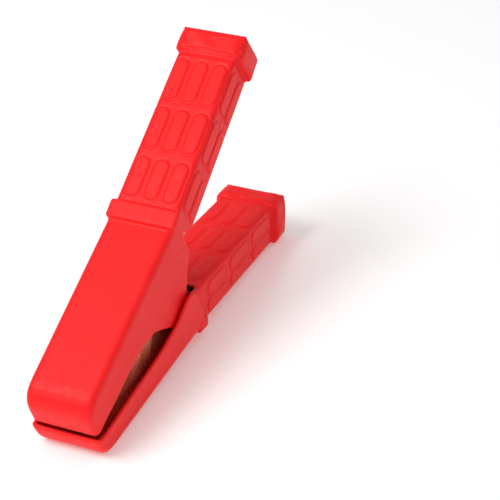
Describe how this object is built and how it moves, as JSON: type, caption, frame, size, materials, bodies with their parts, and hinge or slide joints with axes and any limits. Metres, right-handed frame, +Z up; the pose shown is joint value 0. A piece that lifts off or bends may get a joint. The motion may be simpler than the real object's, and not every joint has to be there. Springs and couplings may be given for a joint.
{
  "type": "insulated alligator clip",
  "caption": "Insulated alligator clip for a test lead: red moulded boots over sprung steel levers with toothed copper jaws.",
  "frame": {"origin": "centre of the bounding box in plan, at the surface that the clip rests on", "axes": "+X towards the jaw tips, +Y along the pivot pin, +Z up, with the clip standing on its lower arm"},
  "size_m": [0.1606, 0.0314, 0.1027],
  "materials": {
    "red_vinyl": "soft satin moulded vinyl with a fine grain",
    "zinc_steel": "bright zinc plate",
    "copper": "copper plate, slightly tarnished",
    "brass": "plain machined",
    "nylon": "natural",
    "spring_steel": "oiled"
  },
  "bodies": {
    "lower_arm": {"lower_boot": "red_vinyl", "lower_lever": "zinc_steel", "pivot_pin": "zinc_steel", "lower_jaw": "copper", "bonding_strap": "copper", "lower_jaw_rivet_front": "copper", "lower_jaw_rivet_rear": "copper", "lower_strap_rivet": "copper", "pivot_washer_left": "nylon", "pivot_washer_right": "nylon", "spring_bush": "nylon", "pivot_push_nut": "spring_steel", "torsion_spring": "spring_steel"},
    "upper_arm": {"upper_boot": "red_vinyl", "upper_lever": "zinc_steel", "upper_jaw": "copper", "upper_jaw_rivet_front": "copper", "upper_jaw_rivet_rear": "copper", "upper_strap_rivet": "copper", "terminal_screw": "brass", "terminal_washer": "brass"}
  },
  "joints": [
    {"name": "jaw_pivot", "type": "hinge", "parent": "lower_arm", "child": "upper_arm", "pos_m": [0.01276, 0, 0.02986], "axis": [0, -1, 0], "range_deg": [0, 32], "stiffness_Nm_per_rad": 1.2, "springref_deg": -28.65, "deforming": ["torsion_spring", "bonding_strap"]}
  ]
}
